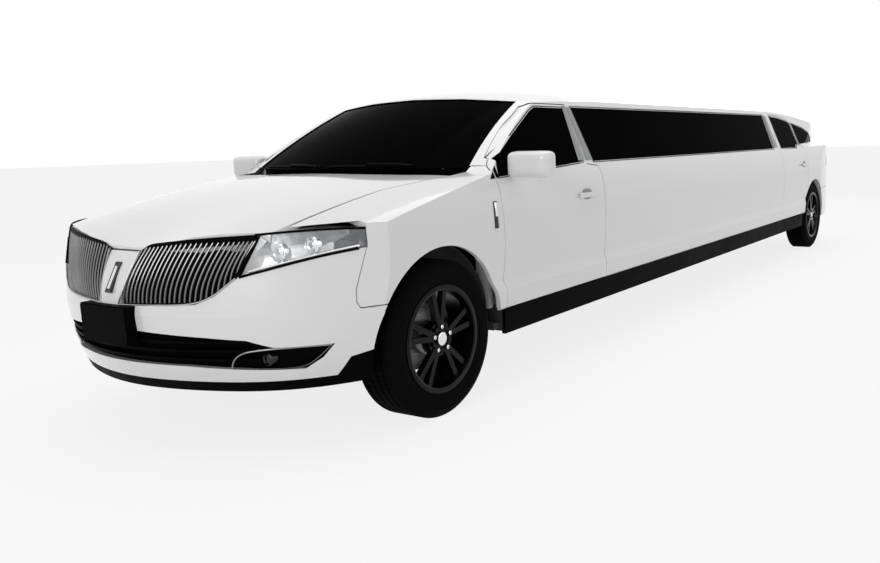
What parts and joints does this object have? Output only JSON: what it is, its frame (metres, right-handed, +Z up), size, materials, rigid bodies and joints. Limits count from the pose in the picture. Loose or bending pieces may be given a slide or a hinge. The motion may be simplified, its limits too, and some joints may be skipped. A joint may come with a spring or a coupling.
{
  "type": "stretch limousine",
  "caption": "Long-wheelbase passenger car with hinged doors, hood and tailgate, coupled front steering and free-rolling wheels.",
  "frame": {"origin": "on the ground, at the bottom centre of the bounding box", "axes": "+X to the car's left side, +Y rearward along the car, +Z up; the nose faces -Y"},
  "size_m": [2.36, 8.8313, 1.5969],
  "materials": {
    "white_paint": "gloss white",
    "dark_glass": "dark tinted glass",
    "tyre": "matt black",
    "black_alloy": "gloss black",
    "bare_steel": "bare cast metal",
    "lamp": "clear lens over chrome",
    "red_lamp": "red lens",
    "bright_grille": "bright bars on black",
    "black_plastic": "satin black",
    "leather": "black leather",
    "underbody": "black underbody coating",
    "trim_panel": "dark gloss panel"
  },
  "bodies": {
    "car_body": {"bar_cabinet": "trim_panel", "body_side_left": "white_paint", "body_side_right": "white_paint", "dashboard": "black_plastic", "engine": "bare_steel", "exhaust": "bare_steel", "floor_pan": "underbody", "front_bumper": "white_paint", "front_fenders": "white_paint", "front_intake": "black_plastic", "front_lip": "black_plastic", "front_plate": "black_plastic", "front_seats": "leather", "front_structure": "underbody", "front_subframe": "bare_steel", "fuel_tank": "black_plastic", "grilles": "bright_grille", "headlamps": "lamp", "lounge_seats": "leather", "partition": "trim_panel", "propshaft": "bare_steel", "rear_bumper": "white_paint", "rear_suspension": "bare_steel", "roof": "white_paint", "side_windows": "dark_glass", "sill_trims": "black_alloy", "tail_lamps": "red_lamp", "windshield": "dark_glass"},
    "hood": {"hood": "white_paint"},
    "tailgate": {"tailgate": "white_paint", "tailgate_glass": "dark_glass", "tailgate_lamp": "red_lamp", "rear_plate": "black_plastic"},
    "front_door_left": {"front_door_left": "white_paint", "front_door_glass_left": "dark_glass", "mirror_left": "white_paint"},
    "front_door_right": {"front_door_right": "white_paint", "front_door_glass_right": "dark_glass", "mirror_right": "white_paint"},
    "rear_door_left": {"rear_door_left": "white_paint", "rear_door_glass_left": "dark_glass"},
    "rear_door_right": {"rear_door_right": "white_paint", "rear_door_glass_right": "dark_glass"},
    "steering_left": {"knuckle_left": "bare_steel"},
    "steering_right": {"knuckle_right": "bare_steel"},
    "front_wheel_left": {"front_tyre_left": "tyre", "front_rim_left": "black_alloy", "front_brake_disc_left": "bare_steel"},
    "front_wheel_right": {"front_tyre_right": "tyre", "front_rim_right": "black_alloy", "front_brake_disc_right": "bare_steel"},
    "rear_wheel_left": {"rear_tyre_left": "tyre", "rear_rim_left": "black_alloy", "rear_brake_disc_left": "bare_steel"},
    "rear_wheel_right": {"rear_tyre_right": "tyre", "rear_rim_right": "black_alloy", "rear_brake_disc_right": "bare_steel"},
    "steering_wheel": {"steering_wheel": "black_plastic"}
  },
  "joints": [
    {"name": "hood_hinge", "type": "hinge", "parent": "car_body", "child": "hood", "pos_m": [0, -3.1125, 1.09], "axis": [-1, 0, 0], "range_deg": [0, 50]},
    {"name": "tailgate_hinge", "type": "hinge", "parent": "car_body", "child": "tailgate", "pos_m": [0, 3.5275, 1.466], "axis": [1, 0, 0], "range_deg": [0, 80]},
    {"name": "front_door_left_hinge", "type": "hinge", "parent": "car_body", "child": "front_door_left", "pos_m": [0.912, -2.8495, 0.7], "axis": [0, 0, -1], "range_deg": [0, 65]},
    {"name": "rear_door_left_hinge", "type": "hinge", "parent": "car_body", "child": "rear_door_left", "pos_m": [0.912, 2.0205, 0.7], "axis": [0, 0, -1], "range_deg": [0, 65]},
    {"name": "steer_left", "type": "hinge", "parent": "car_body", "child": "steering_left", "pos_m": [0.69, -3.3845, 0.3705], "axis": [0, 0, 1], "range_deg": [-30, 30]},
    {"name": "front_wheel_left_spin", "type": "hinge", "parent": "steering_left", "child": "front_wheel_left", "pos_m": [0.83, -3.3845, 0.3705], "axis": [1, 0, 0], "continuous": true},
    {"name": "rear_wheel_left_spin", "type": "hinge", "parent": "car_body", "child": "rear_wheel_left", "pos_m": [0.83, 3.1665, 0.3705], "axis": [1, 0, 0], "continuous": true},
    {"name": "front_door_right_hinge", "type": "hinge", "parent": "car_body", "child": "front_door_right", "pos_m": [-0.912, -2.8495, 0.7], "axis": [0, 0, 1], "range_deg": [0, 65]},
    {"name": "rear_door_right_hinge", "type": "hinge", "parent": "car_body", "child": "rear_door_right", "pos_m": [-0.912, 2.0205, 0.7], "axis": [0, 0, 1], "range_deg": [0, 65]},
    {"name": "steer_right", "type": "hinge", "parent": "car_body", "child": "steering_right", "pos_m": [-0.69, -3.3845, 0.3705], "axis": [0, 0, 1], "range_deg": [-30, 30]},
    {"name": "front_wheel_right_spin", "type": "hinge", "parent": "steering_right", "child": "front_wheel_right", "pos_m": [-0.83, -3.3845, 0.3705], "axis": [1, 0, 0], "continuous": true},
    {"name": "rear_wheel_right_spin", "type": "hinge", "parent": "car_body", "child": "rear_wheel_right", "pos_m": [-0.83, 3.1665, 0.3705], "axis": [1, 0, 0], "continuous": true},
    {"name": "steering_wheel_turn", "type": "hinge", "parent": "car_body", "child": "steering_wheel", "pos_m": [0.39, -2.5045, 0.96], "axis": [0, 0.9135, 0.4067], "range_deg": [-360, 360]}
  ],
  "couplings": [
    {"joint": "steer_right", "follows": "steer_left", "ratio": 1},
    {"joint": "steering_wheel_turn", "follows": "steer_left", "ratio": 12}
  ]
}
